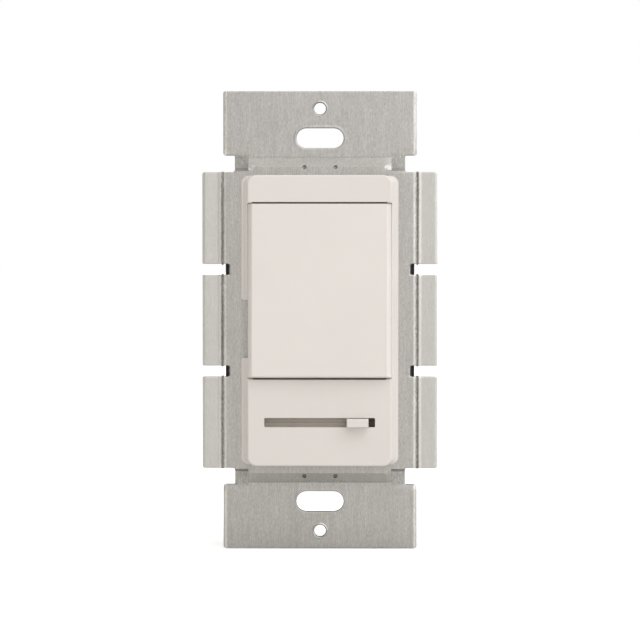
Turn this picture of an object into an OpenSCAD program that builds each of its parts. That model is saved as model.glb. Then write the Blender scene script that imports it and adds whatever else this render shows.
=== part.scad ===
// Wall dimmer with a rocker paddle and a slide control, built on a decorator-size aluminium strap.
// X runs to the right, Y from the room into the wall, Z up. The origin is the centre of the strap,
// on the plane where the backs of the two ears meet the wall.

/* [Mounting strap] */
// Height from ear end to ear end
strap_h = 104.8; // [104:0.1:106]
// Thickness of the sheet
strap_t = 1.5; // [1.2:0.1:1.6]
// Width of each ear
ear_w = 44.4; // [43:0.1:46]
// Height of each ear
ear_h = 14.7; // [14:0.1:15]
// Width of the neck between an ear and the plate
neck_w = 39.0; // [36:0.5:42]
// Width of the plate across its break-off fins
plate_w = 53.8; // [52:0.1:56]
// Height of the plate
plate_h = 67.7; // [67:0.1:69]
// How far the plate stands in front of the ears
plate_lift = 2.0; // [1.6:0.1:2.4]
// Distance between the two break-off score lines
score_spacing = 44.5; // [44:0.1:46]
// Depth of each score line
score_depth = 0.4; // [0.2:0.1:0.6]
// Width of the gap between two fins
fin_gap = 2.5; // [2:0.1:3]
// Height of the fin gaps above and below the middle
fin_gap_z = 11.65; // [11:0.05:12.5]
// Distance between the two cover-plate screw holes
cover_screw_spacing = 96.84; // [96.5:0.01:97.2]
// Diameter of a cover-plate screw hole
cover_screw_d = 2.7; // [2.5:0.05:3]
// Distance between the two box-screw slots
box_slot_spacing = 83.34; // [83:0.01:83.8]
// Length of a box-screw slot
box_slot_l = 10.8; // [9:0.1:12]
// Height of a box-screw slot
box_slot_h = 4.55; // [4.2:0.05:4.8]

/* [Front frame] */
// Width of the frame's raised part
frame_w = 32.8; // [32:0.1:33.2]
// Height of the frame's raised part
frame_h = 66.2; // [66:0.1:66.6]
// Distance from the wall plane to the frame's face
face_out = 8.0; // [7.5:0.1:8.5]
// Width of the frame's flange
flange_w = 35.9; // [35:0.1:37]
// Height of the frame's flange
flange_h = 66.0; // [65:0.1:66]
// Wall thickness of the frame
frame_wall = 1.4; // [1.2:0.1:1.6]
// Lower edge of the paddle bay
bay_low = -13.4; // [-14:0.05:-13.3]
// Upper edge of the paddle bay
bay_high = 26.95; // [26.9:0.05:27.5]

/* [Rocker paddle] */
// Height of the rocker's hinge line above the middle
pivot_z = 6.75; // [6.7:0.05:6.8]
// Distance from the wall plane out to the hinge line
pivot_out = 5.4; // [5.3:0.05:5.5]
// Angle of the paddle to the frame's face in each position
rocker_tilt = 3; // [2:0.25:3]
// Half the height of the paddle at its skirt
paddle_half_h = 19.9; // [19.7:0.05:19.95]
// Width of the paddle's flat face
paddle_face_w = 30.8; // [30:0.1:31.2]
// Radius of the paddle's hinge stubs
stub_r = 1.1; // [1:0.05:1.15]

/* [Slide control] */
// Height of the slide control below the middle
slider_z = -23.2; // [-24:0.1:-22.5]
// Length of the slot in the frame
slot_l = 25.2; // [25:0.1:26]
// Height of the slot in the frame
slot_h = 2.1; // [2.1:0.05:2.4]
// Knob's place along the slot, from the middle
knob_x = 8.65; // [-10:0.05:10]
// Width of the knob
knob_w = 4.95; // [4:0.05:5]
// Height of the knob
knob_h = 1.86; // [1.6:0.02:1.9]
// Distance from the wall plane out to the knob's face
knob_out = 10.8; // [10:0.1:11.5]

/* [Rear housing] */
// Width of the housing
housing_w = 43.2; // [42.5:0.1:43.6]
// Height of the housing
housing_h = 66.0; // [65:0.1:66.4]
// Distance from the wall plane to the housing's rear face
housing_back = 29; // [28:0.5:32]
// Thickness of the housing's walls
housing_wall = 1.8; // [1.6:0.1:2]
// Sideways distance of a housing screw from the middle
screw_x = 12.0; // [11.5:0.1:12.5]
// Upward distance of a housing screw from the middle
screw_z = 29.6; // [29.4:0.1:29.8]

/* [Hidden] */
$fn = 64;
cut = 1;
fit = 0.05;

// Planes of the strap, counted from the room towards the wall
plate_back = -plate_lift;
plate_front = plate_back - strap_t;
ear_in = strap_h / 2 - ear_h;
plate_half = plate_h / 2;
flange_front = plate_front - 1;
frame_face = -face_out;
frame_inside = frame_face + frame_wall;

// The bends between an ear and the plate, on the sheet's front side: a ramp in the middle, a step at each end
ramp_out = 37.3;
ramp_in = 35.2;
step_out = 34.7;
step_in = 34.05;
ramp_half_w = 16.4;
slot_end_x = 20.85;
slot_end_r = 0.35;

// Openings through the plate, the insulating sheet and the board
rocker_window = 12;
lever_window_l = 27;
lever_window_h = 4;
rivet_z = -4.5;
rivet_r = 1.55;

// The frame's corners and its sloped sides
frame_corner_r = 1.9;
lip_front = plate_front - 0.6;
rail_front = -5.9;
rail_half_w = frame_w / 2 + 0.2;
bay_half_w = frame_w / 2 + 0.05;

// Bay of the paddle in the frame
rail_in = 11.3;
window_low = -11.4;
window_high = 25;
frame_lug_x = [11.5, 13.2];
paddle_lug_x = [9.4, 10.9];
stub_end = 13.4;
boss_r = 2.6;
boss_bore_r = 1.15;
notch_z = [-8.55, 4.65];

// The rocker, measured from its hinge line
face_dy = -3.6;
skirt_dy = -0.5;
shell_t = 1.4;
face_half_h = paddle_half_h - 0.25;
post_half = 3.6;
post_dy = 9;
plunger_r = 1.5;
plunger_bore_r = 1.6;
spring_dy = -1;
plunger_dy = 4;
plunger_tip_dy = 13.3;
tip_r = 1;
paddle_lug_r = 1.6;
frame_lug_r = 1.9;
rib_dz = 12;
rib_half_t = 0.5;

// The plunger's coil spring
spring_turns = 6;
spring_steps = 14;
spring_corners = 6;
spring_r = 1.15;
wire_r = 0.2;
spring_gap = 0.05;
spring_l = plunger_dy - spring_dy - 2 * wire_r - 2 * spring_gap;

// Inside of the slide control
seal_front = -6.0;
seal_t = 0.4;
seal_size = [28, 5];
seal_seat = [28.4, 5.6];
lever_w = 3.0;
lever_t = 1.2;
pot_w = 34.4;
pot_h = 6.4;
pot_front = 5.2;
pot_wall = 0.5;
carriage_half_h = pot_h / 2 - pot_wall - 0.2;
track_front = 11.05;
track_l = 25;
track_h = 1.4;
track_z = 1.6;

// The board and what stands on it
board_front = 12.5;
board_back = 14.1;
board_w = 38.4;
board_h = 60.8;
pin_back = 15.2;
pin_w = 1.2;
pin_t = 0.8;
pin_pitch = 9;

// The switch
arm_y = 8.5;
arm_tilt = 2 * rocker_tilt;
arm_half = 8;
arm_w = 5.2;
arm_t = 0.8;
arm_stub_r = 0.5;
button_r = 1.2;
button_t = 0.7;
contact_dz = 6.6;
contact_face = 10.5;
tray_front = 4.5;
tray_floor = 11.5;
tray_half_w = 6.8;
tray_half_h = 11.8;
tray_wall = 1.2;

// The triac on the plate
mica_t = 0.15;
tab_t = 1.3;
triac_w = 10;
triac_z = [-17, -8];
tab_high = -1.4;
lead_z = -18.4;

choke_at = [4, 20.1, 13];
choke_r = 9;
choke_h = 9;
choke_bore_r = 3.6;
winding_t = 1;
resistor_z = [-25.6, -22, -15.6];
filter_low = [-16, board_back, -4];
filter_high = [-9, 26.4, 13];
timing_low = [-7, board_back, -12];
timing_high = [-2, 21, -5];

// Side terminals: side of the housing, height
terminals = [[-1, 2], [1, 14], [1, -10]];
pocket_front = 16;
pocket_half_h = 5;
pocket_floor = 18.8;
pocket_wall = 1.6;
terminal_y = 21.5;
terminal_screw_r = 1.55;
terminal_half_w = 4;
terminal_half_h = 4.2;
terminal_t = 1;
terminal_tail_x = 16.2;
terminal_tail_half_h = 1.4;
clamp_half = 3.5;
clamp_t = 0.8;
screw_head_r = 3.4;
screw_head_t = 1.1;
screw_slot_half_w = 0.45;
screw_slot_depth = 0.6;

// The ground connection in its corner channel
ground_x = -15.5;
ground_z = 20.5;
ground_r = 1.75;
channel_in = 11;
channel_z = [15.8, 25.4];
channel_wall = 1.5;

housing_in_w = housing_w - 2 * housing_wall;
housing_in_h = housing_h - 2 * housing_wall;
housing_floor = housing_back - housing_wall;
pillar_r = 3;
shoulder_r = 3.3;
head_seat = 26.2;

// A flat outline in X and Z, as a slab from y0 to y1
module slab(y0, y1) translate([0, y1, 0]) rotate([90, 0, 0]) linear_extrude(y1 - y0) children();

// A profile in Y and Z, carried from x0 to x1
module bar(x0, x1) translate([x0, 0, 0]) rotate([90, 0, 90]) linear_extrude(x1 - x0) children();

// A box between two corners
module block(low, high) translate(low) cube(high - low);

// A round pin along Y
module pin_y(r, y0, y1) translate([0, y1, 0]) rotate([90, 0, 0]) cylinder(r = r, h = y1 - y0);

// A round pin along X
module pin_x(r, x0, x1) translate([x0, 0, 0]) rotate([0, 90, 0]) cylinder(r = r, h = x1 - x0);

module rounded_rect(w, h, r) {
    square([w - 2 * r, h], center = true);
    square([w, h - 2 * r], center = true);
    for (sx = [-1, 1], sz = [-1, 1]) translate([sx * (w / 2 - r), sz * (h / 2 - r)]) circle(r);
}

module obround(l, h) {
    square([l - h, h], center = true);
    for (s = [-1, 1]) translate([s * (l - h) / 2, 0]) circle(h / 2);
}

// Places what follows at each of the four housing screws
module at_housing_screws() for (sx = [-1, 1], sz = [-1, 1])
    translate([sx * screw_x, 0, sz * screw_z]) children();

// Lays out what is drawn about the rocker's hinge line, in the rocker's rest position
module on_rocker() translate([0, -pivot_out, pivot_z]) rotate([-rocker_tilt, 0, 0]) children();

// Lays out what is drawn about the contact arm's hinge line, in its rest position
module on_contact_arm() translate([0, arm_y, pivot_z]) rotate([arm_tilt, 0, 0]) children();

// Lays out what is drawn about the slide control's middle line, with the knob in its place
module on_slider() translate([knob_x, 0, slider_z]) children();

// Places a right-hand terminal part at each side terminal
module at_terminal(side, z) translate([0, terminal_y, z]) mirror([side < 0 ? 1 : 0, 0, 0]) children();

// ---- Strap and frame ----

module fin_gap_outline(side, z) translate([side * (slot_end_x + plate_w / 4), z])
    rounded_rect(plate_w / 2, fin_gap, slot_end_r);

// The sheet's profile where it passes from the ear plane to the plate plane between z_out and z_in
module neck_profile(z_out, z_in) {
    shift = strap_t * tan(atan(plate_lift / (z_out - z_in)) / 2);
    polygon([
        [-strap_t, ear_in + cut], [-strap_t, z_out], [plate_front, z_in], [plate_front, plate_half - cut],
        [plate_back, plate_half - cut], [plate_back, z_in + shift], [0, z_out + shift], [0, ear_in + cut]]);
}

module score_line(x) translate([x, plate_front, 0]) rotate([0, 0, 45])
    cube([score_depth * sqrt(2), score_depth * sqrt(2), plate_h + 2 * cut], center = true);

module mounting_strap() color("silver") difference() {
    union() {
        for (s = [0, 1]) mirror([0, 0, s]) {
            bar(-ramp_half_w, ramp_half_w) neck_profile(ramp_out, ramp_in);
            for (x = [-neck_w / 2, ramp_half_w])
                bar(x, x + neck_w / 2 - ramp_half_w) neck_profile(step_out, step_in);
            block([-ear_w / 2, -strap_t, ear_in], [ear_w / 2, 0, strap_h / 2]);
        }
        slab(plate_front, plate_back) difference() {
            square([plate_w, plate_h], center = true);
            for (side = [-1, 1], sz = [-1, 1]) fin_gap_outline(side, sz * fin_gap_z);
        }
    }
    for (s = [-1, 1]) {
        score_line(s * score_spacing / 2);
        translate([0, 0, s * cover_screw_spacing / 2]) pin_y(cover_screw_d / 2, -strap_t - cut, cut);
        translate([0, 0, s * box_slot_spacing / 2]) slab(-strap_t - cut, cut) obround(box_slot_l, box_slot_h);
    }
    slab(plate_front - cut, plate_back + cut) {
        translate([0, pivot_z]) square(rocker_window, center = true);
        translate([0, slider_z]) square([lever_window_l, lever_window_h], center = true);
    }
    at_housing_screws() pin_y(1.6, plate_front - cut, plate_back + cut);
    translate([0, 0, rivet_z]) pin_y(rivet_r + fit, plate_front - cut, plate_back + cut);
    translate([ground_x, 0, ground_z]) pin_y(ground_r, plate_front - cut, plate_back + cut);
}

module frame_lug(side) {
    x0 = side > 0 ? frame_lug_x[0] : -frame_lug_x[1];
    x1 = x0 + frame_lug_x[1] - frame_lug_x[0];
    translate([0, -pivot_out, pivot_z]) pin_x(frame_lug_r, x0, x1);
    block([x0, -pivot_out, pivot_z - frame_lug_r], [x1, plate_front, pivot_z + frame_lug_r]);
}

// The flange's section: a thin lip, then a slope up to the rails beside the paddle
module frame_side_profile() polygon([
    [-flange_w / 2, plate_front], [-flange_w / 2, lip_front], [-rail_half_w, rail_front],
    [rail_half_w, rail_front], [flange_w / 2, lip_front], [flange_w / 2, plate_front]]);

module front_frame() color("linen") difference() {
    union() {
        difference() {
            union() {
                slab(frame_face, plate_front) rounded_rect(frame_w, frame_h, frame_corner_r);
                intersection() {
                    slab(rail_front, plate_front) rounded_rect(flange_w, flange_h, frame_corner_r);
                    translate([0, 0, -frame_h]) linear_extrude(2 * frame_h) frame_side_profile();
                }
            }
            block([-frame_w, frame_face - cut, bay_low], [frame_w, rail_front, bay_high]);
            block([-bay_half_w, frame_face - cut, bay_low], [bay_half_w, flange_front, bay_high]);
            block([-frame_w / 2 + frame_wall, frame_inside, bay_high + frame_wall],
                  [frame_w / 2 - frame_wall, plate_front + cut, frame_h / 2 - frame_wall]);
            block([-frame_w / 2 + frame_wall, frame_inside, -frame_h / 2 + frame_wall],
                  [frame_w / 2 - frame_wall, plate_front + cut, bay_low - frame_wall]);
            block([-rail_in, flange_front - cut, window_low], [rail_in, plate_front + cut, window_high]);
            block([-flange_w, frame_face - cut, notch_z[0]], [-bay_half_w, plate_front + cut, notch_z[1]]);
        }
        for (side = [-1, 1]) frame_lug(side);
        at_housing_screws() pin_y(boss_r, frame_inside - frame_wall / 2, plate_front);
        slab(frame_inside - frame_wall / 2, seal_front) translate([0, slider_z])
            square(seal_seat, center = true);
    }
    translate([0, -pivot_out, pivot_z]) pin_x(stub_r + fit, -frame_w / 2, frame_w / 2);
    slab(frame_face - cut, seal_front + cut) translate([0, slider_z]) square([slot_l, slot_h], center = true);
    at_housing_screws() pin_y(boss_bore_r, frame_inside, plate_front + cut);
}

module dust_seal() color("dimgray") slab(seal_front, seal_front + seal_t)
    translate([0, slider_z]) difference() {
        square(seal_size, center = true);
        square([slot_l - knob_w + lever_w + 0.6, lever_t + 0.3], center = true);
    }

// Outline shared by the insulating sheet and the board
module inner_outline(w, h) difference() {
    square([w, h], center = true);
    for (sx = [-1, 1], sz = [-1, 1]) translate([sx * screw_x, sz * screw_z]) circle(pillar_r + 0.1);
    translate([-w / 2 - cut, channel_z[0] - channel_wall - 0.2])
        square([w / 2 + cut - channel_in + channel_wall + 0.2,
                channel_z[1] - channel_z[0] + 2 * channel_wall + 0.4]);
}

module insulating_sheet() color("darkslategray") slab(plate_back, plate_back + 0.2) difference() {
    inner_outline(board_w, board_h);
    translate([0, pivot_z]) square(rocker_window, center = true);
    translate([0, slider_z]) square([lever_window_l, lever_window_h], center = true);
    translate([-triac_w / 2 - 1, triac_z[0] - 1]) square([triac_w + 2, tab_high - triac_z[0] + 1.9]);
}

// ---- Rocker paddle and switch ----

module paddle_side_profile(inset) polygon([
    [face_dy + inset, -face_half_h + inset], [face_dy + inset, face_half_h - inset],
    [skirt_dy + (inset > 0 ? cut : 0), paddle_half_h - inset],
    [skirt_dy + (inset > 0 ? cut : 0), -paddle_half_h + inset]]);

module paddle_end_profile(inset) polygon([
    [-paddle_face_w / 2 + inset, face_dy + inset], [paddle_face_w / 2 - inset, face_dy + inset],
    [frame_w / 2 - inset, skirt_dy + (inset > 0 ? cut : 0)],
    [-frame_w / 2 + inset, skirt_dy + (inset > 0 ? cut : 0)]]);

module paddle_form(inset) intersection() {
    bar(-frame_w, frame_w) paddle_side_profile(inset);
    translate([0, 0, -frame_h]) linear_extrude(2 * frame_h) paddle_end_profile(inset);
}

module paddle_lug(side) {
    x0 = side > 0 ? paddle_lug_x[0] : -paddle_lug_x[1];
    x1 = x0 + paddle_lug_x[1] - paddle_lug_x[0];
    pin_x(paddle_lug_r, x0, x1);
    block([x0, face_dy + shell_t / 2, -paddle_lug_r], [x1, 0, paddle_lug_r]);
    pin_x(stub_r, side > 0 ? x1 - cut / 2 : -stub_end, side > 0 ? stub_end : x0 + cut / 2);
}

module rocker_paddle() color("linen") on_rocker() difference() {
    union() {
        difference() {
            paddle_form(0);
            paddle_form(shell_t);
        }
        for (side = [-1, 1]) paddle_lug(side);
        block([-post_half, face_dy + shell_t / 2, -post_half], [post_half, post_dy, post_half]);
        for (dz = [-rib_dz, rib_dz])
            block([-frame_w / 2 + 2 * shell_t, face_dy + shell_t / 2, dz - rib_half_t],
                  [frame_w / 2 - 2 * shell_t, skirt_dy - 0.6, dz + rib_half_t]);
    }
    pin_y(plunger_bore_r, spring_dy, post_dy + cut);
}

module plunger() color("whitesmoke") on_rocker() {
    pin_y(plunger_r, plunger_dy, plunger_tip_dy - 2.6);
    pin_y(tip_r, plunger_tip_dy - 3, plunger_tip_dy - tip_r);
    translate([0, plunger_tip_dy - tip_r, 0]) sphere(tip_r);
}

// A coil spring's wire, as rings of corners about its helix
spring_rings = [for (i = [0 : spring_turns * spring_steps]) let (
    turn = 360 * i / spring_steps,
    along = spring_dy + wire_r + spring_gap + spring_l * i / (spring_turns * spring_steps))
    [for (c = [0 : spring_corners - 1]) let (a = 360 * c / spring_corners, r = spring_r + wire_r * cos(a))
        [r * cos(turn), along + wire_r * sin(a), r * sin(turn)]]];

module sweep(rings, corners) {
    last = len(rings) - 1;
    sides = [for (i = [0 : last - 1], c = [0 : corners - 1]) let (d = (c + 1) % corners)
        [i * corners + c, (i + 1) * corners + c, (i + 1) * corners + d, i * corners + d]];
    first_cap = [for (c = [0 : corners - 1]) c];
    last_cap = [for (c = [corners - 1 : -1 : 0]) last * corners + c];
    polyhedron([for (ring = rings, p = ring) p], concat(sides, [first_cap, last_cap]));
}

module plunger_spring() color("slategray") on_rocker() sweep(spring_rings, spring_corners);

module contact_arm() color("peru") on_contact_arm() {
    block([-arm_w / 2, -arm_t / 2, -arm_half], [arm_w / 2, arm_t / 2, arm_half]);
    pin_x(arm_stub_r, -3.9, 3.9);
}

module moving_contacts() color("lightgray") on_contact_arm()
    for (s = [-1, 1]) translate([0, 0, s * contact_dz]) pin_y(button_r, arm_t / 2, arm_t / 2 + button_t);

module pivot_terminal() color("goldenrod") translate([0, 0, pivot_z]) difference() {
    union() {
        block([-3.7, tray_floor - 0.5, -1.4], [3.7, tray_floor, 1.4]);
        for (x = [-3.7, 2.9]) {
            block([x, arm_y, -1.4], [x + 0.8, tray_floor - 0.4, 1.4]);
            translate([0, arm_y, 0]) pin_x(1.4, x, x + 0.8);
        }
        block([-pin_w / 2, tray_floor - 0.1, -pin_t / 2], [pin_w / 2, pin_back, pin_t / 2]);
    }
    translate([0, arm_y, 0]) pin_x(arm_stub_r + fit, -4, 4);
}

module fixed_contact(side) translate([0, 0, pivot_z]) {
    translate([0, 0, side * contact_dz]) pin_y(button_r + 0.1, contact_face, tray_floor - 0.4);
    translate([0, 0, side * (contact_dz + 0.9)])
        block([-2, tray_floor - 0.5, -2.5], [2, tray_floor, 2.5]);
    translate([0, 0, side * pin_pitch])
        block([-pin_w / 2, tray_floor - 0.1, -pin_t / 2], [pin_w / 2, pin_back, pin_t / 2]);
}

module lower_fixed_contact() color("goldenrod") fixed_contact(-1);

module upper_fixed_contact() color("goldenrod") fixed_contact(1);

module pin_holes() for (dz = [-pin_pitch, 0, pin_pitch])
    translate([0, pivot_z + dz]) square([pin_w + 0.4, pin_t + 0.4], center = true);

module switch_base() color("saddlebrown") difference() {
    slab(tray_front, board_front) translate([0, pivot_z])
        square([2 * tray_half_w, 2 * tray_half_h], center = true);
    slab(tray_front - cut, tray_floor) translate([0, pivot_z])
        square([2 * (tray_half_w - tray_wall), 2 * (tray_half_h - tray_wall)], center = true);
    slab(tray_floor - cut, board_front + cut) pin_holes();
}

// ---- Slide control ----

module slider_knob() color("linen") on_slider() difference() {
    block([-knob_w / 2, -knob_out, -knob_h / 2], [knob_w / 2, seal_front - 0.3, knob_h / 2]);
    block([-lever_w / 2, -knob_out + 1.3, -lever_t / 2], [lever_w / 2, 0, lever_t / 2]);
}

module slider_lever() color("gainsboro") on_slider()
    block([-lever_w / 2, -knob_out + 1.3, -lever_t / 2], [lever_w / 2, 9, lever_t / 2]);

module wiper_carriage() color("whitesmoke") on_slider() difference() {
    block([-3.6, pot_front + pot_wall + 0.3, -carriage_half_h], [3.6, 9, carriage_half_h]);
    block([-lever_w / 2, 0, -lever_t / 2], [lever_w / 2, 10, lever_t / 2]);
}

// Two bowed springs that press on the track and on the collector
module wiper_contacts() color("peru") on_slider()
    for (s = [-1, 1]) translate([0, 0, s * track_z - 0.5]) linear_extrude(1)
        polygon([[-2.8, 9], [2.8, 9], [2.8, 9.3], [0.8, track_front - 0.1],
            [-0.8, track_front - 0.1], [-2.8, 9.3]]);

module potentiometer_shell() color("lightsteelblue") translate([0, 0, slider_z]) difference() {
    block([-pot_w / 2, pot_front, -pot_h / 2], [pot_w / 2, board_front, pot_h / 2]);
    block([-pot_w / 2 + pot_wall, pot_front + pot_wall, -pot_h / 2 + pot_wall],
          [pot_w / 2 - pot_wall, board_front + cut, pot_h / 2 - pot_wall]);
    block([-12.6, 0, -1], [12.6, 7, 1]);
}

module resistor_board() color("sienna") translate([0, 0, slider_z])
    block([-pot_w / 2 + 0.6, track_front + 0.15, -pot_h / 2 + 0.6],
          [pot_w / 2 - 0.6, board_front, pot_h / 2 - 0.6]);

module track(side) translate([0, 0, slider_z + side * track_z])
    block([-track_l / 2, track_front, -track_h / 2], [track_l / 2, track_front + 0.15, track_h / 2]);

module carbon_track() color("black") track(1);

module collector_strip() color("silver") track(-1);

// ---- Board and its components ----

module circuit_board() color("darkgreen") slab(board_front, board_back) difference() {
    inner_outline(board_w, board_h);
    pin_holes();
    for (x = [-2.54, 0, 2.54]) translate([x, lead_z]) square(1.3, center = true);
}

module triac_insulator() color("wheat") slab(plate_back, plate_back + mica_t) difference() {
    translate([-triac_w / 2 - 0.6, triac_z[0] - 0.5]) square([triac_w + 1.2, tab_high - triac_z[0] + 1]);
    translate([0, rivet_z]) circle(rivet_r + 0.3);
}

module triac_tab() color("silver") slab(plate_back + mica_t, plate_back + mica_t + tab_t) difference() {
    translate([-triac_w / 2, triac_z[0]]) square([triac_w, tab_high - triac_z[0]]);
    translate([0, rivet_z]) circle(rivet_r + 0.3);
}

module triac_body() color("dimgray")
    block([-triac_w / 2, plate_back + mica_t + tab_t, triac_z[0]], [triac_w / 2, 2.65, triac_z[1]]);

module triac_leads() color("lightgray") for (x = [-2.54, 0, 2.54]) bar(x - 0.4, x + 0.4)
    polygon([[0.6, triac_z[0]], [1.1, triac_z[0]], [1.1, lead_z + 0.25], [pin_back, lead_z + 0.25],
        [pin_back, lead_z - 0.25], [0.6, lead_z - 0.25]]);

module triac_rivet() color("gainsboro") translate([0, 0, rivet_z]) {
    pin_y(rivet_r, plate_front - 0.1, plate_back + mica_t + tab_t + 0.1);
    pin_y(2.9, plate_front - 0.8, plate_front);
    pin_y(2.6, plate_back + mica_t + tab_t, plate_back + mica_t + tab_t + 0.8);
}

module choke_ring(inner, outer, h) translate(choke_at) rotate([90, 0, 0])
    rotate_extrude() translate([inner, -h / 2]) square([outer - inner, h]);

module choke_inside() choke_ring(choke_bore_r + winding_t, choke_r - winding_t, choke_h - 2 * winding_t);

module choke_core() color("gold") choke_inside();

module choke_winding() color("chocolate") difference() {
    choke_ring(choke_bore_r, choke_r, choke_h);
    choke_inside();
}

module filter_capacitor() color("royalblue") block(filter_low, filter_high);

module timing_capacitor() color("firebrick") block(timing_low, timing_high);

module resistors() color("tan") for (z = resistor_z)
    translate([-4, board_back + 1.2, z]) pin_x(1.1, 0, 9);

module diac() color("lightblue") translate([4, board_back + 1, -8]) pin_x(0.9, 0, 4);

// ---- Terminals ----

module terminal_plate(side, z) at_terminal(side, z) difference() {
    union() {
        block([pocket_floor, -terminal_half_w, -terminal_half_h],
              [pocket_floor + terminal_t, terminal_half_w, terminal_half_h]);
        block([terminal_tail_x, -terminal_half_w, -terminal_tail_half_h],
              [pocket_floor + terminal_t / 2, terminal_t - terminal_half_w, terminal_tail_half_h]);
        block([terminal_tail_x, board_back - terminal_y, -terminal_tail_half_h],
              [terminal_tail_x + clamp_t, terminal_t - terminal_half_w, terminal_tail_half_h]);
    }
    pin_x(terminal_screw_r + fit, 0, housing_w);
}

module line_terminal() color("goldenrod") terminal_plate(terminals[0][0], terminals[0][1]);

module load_terminal() color("goldenrod") terminal_plate(terminals[1][0], terminals[1][1]);

module traveller_terminal() color("goldenrod") terminal_plate(terminals[2][0], terminals[2][1]);

module terminal_clamps() color("gold") for (t = terminals) at_terminal(t[0], t[1]) difference() {
    block([pocket_floor + terminal_t, -clamp_half, -clamp_half],
          [pocket_floor + terminal_t + clamp_t, clamp_half, clamp_half]);
    pin_x(terminal_screw_r + 5 * fit, 0, housing_w);
}

module terminal_screws() color("gold") for (t = terminals) at_terminal(t[0], t[1]) difference() {
    seat = pocket_floor + terminal_t + clamp_t;
    union() {
        pin_x(terminal_screw_r, terminal_tail_x + clamp_t, seat + screw_head_t / 2);
        pin_x(screw_head_r, seat, seat + screw_head_t);
    }
    block([seat + screw_head_t - screw_slot_depth, -terminal_half_w, -screw_slot_half_w],
          [seat + screw_head_t + cut, terminal_half_w, screw_slot_half_w]);
}

module ground_clamp() color("gold") translate([ground_x, 0, ground_z])
    slab(plate_back, plate_back + 0.8) difference() {
        square(8, center = true);
        circle(ground_r + 0.2);
    }

module ground_screw() color("green") translate([ground_x, 0, ground_z]) difference() {
    union() {
        pin_y(ground_r, plate_front, plate_back + 0.9);
        translate([0, plate_back + 3.2, 0]) rotate([90, 0, 0]) cylinder(r = 3.9, h = 2.4, $fn = 6);
    }
    block([-5, plate_back + 2.3, -0.5], [5, plate_back + 4, 0.5]);
}

// ---- Rear housing ----

module terminal_pocket_wall(side, z) at_terminal(side, z)
    block([pocket_floor - pocket_wall, board_back + 0.5 - terminal_y, -pocket_half_h - pocket_wall],
          [housing_w / 2 - 0.2, housing_back - terminal_y, pocket_half_h + pocket_wall]);

module terminal_pocket(side, z) at_terminal(side, z) {
    block([pocket_floor, pocket_front - terminal_y, -pocket_half_h],
          [housing_w, housing_back + cut - terminal_y, pocket_half_h]);
    block([0, -4.1, -1.6], [pocket_floor + cut, -2.9, 1.6]);
    pin_x(terminal_screw_r + 0.4, 0, 30);
}

module rear_housing() color("#26262a") difference() {
    union() {
        difference() {
            slab(plate_back, housing_back) rounded_rect(housing_w, housing_h, 2);
            slab(plate_back - cut, housing_floor) rounded_rect(housing_in_w, housing_in_h, 1);
        }
        intersection() {
            union() {
                for (t = terminals) terminal_pocket_wall(t[0], t[1]);
                block([-housing_w / 2, plate_back, channel_z[0] - channel_wall],
                      [-channel_in + channel_wall, housing_back, channel_z[1] + channel_wall]);
            }
            slab(plate_back, housing_back) rounded_rect(housing_w, housing_h, 2);
        }
        at_housing_screws() {
            pin_y(pillar_r, plate_back, housing_floor + cut / 2);
            pin_y(shoulder_r, board_back, housing_floor + cut / 2);
        }
    }
    for (t = terminals) terminal_pocket(t[0], t[1]);
    block([-housing_w, plate_back - cut, channel_z[0]], [-channel_in, housing_back + cut, channel_z[1]]);
    at_housing_screws() {
        pin_y(1.5, plate_back - cut, housing_back + cut);
        pin_y(2.6, head_seat, housing_back + cut);
    }
    // Shallow panel and wire-length gauge in the rear face
    slab(housing_back - 0.4, housing_back + cut) translate([2, -3]) rounded_rect(26, 36, 1);
    block([-6, housing_back - 0.8, 22], [8, housing_back + cut, 24]);
}

module housing_screws() color("silver") at_housing_screws() difference() {
    union() {
        pin_y(boss_bore_r - 0.03, frame_inside + 0.2, plate_back);
        pin_y(1.3, plate_back - 0.1, head_seat + 0.1);
        pin_y(2.3, head_seat, head_seat + 1.9);
    }
    for (a = [0, 90]) rotate([0, a, 0]) block([-1.4, head_seat + 0.9, -0.3], [1.4, head_seat + 3, 0.3]);
}

mounting_strap();
front_frame();
dust_seal();
insulating_sheet();
rear_housing();
housing_screws();
circuit_board();
switch_base();
pivot_terminal();
lower_fixed_contact();
upper_fixed_contact();
potentiometer_shell();
resistor_board();
carbon_track();
collector_strip();
triac_tab();
triac_body();
triac_leads();
triac_insulator();
triac_rivet();
choke_core();
choke_winding();
filter_capacitor();
timing_capacitor();
resistors();
diac();
line_terminal();
load_terminal();
traveller_terminal();
terminal_clamps();
terminal_screws();
ground_clamp();
ground_screw();
rocker_paddle();
plunger();
plunger_spring();
contact_arm();
moving_contacts();
slider_knob();
slider_lever();
wiper_carriage();
wiper_contacts();
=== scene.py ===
import math

import bmesh
import bpy
from mathutils import Matrix, Vector, noise


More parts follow.
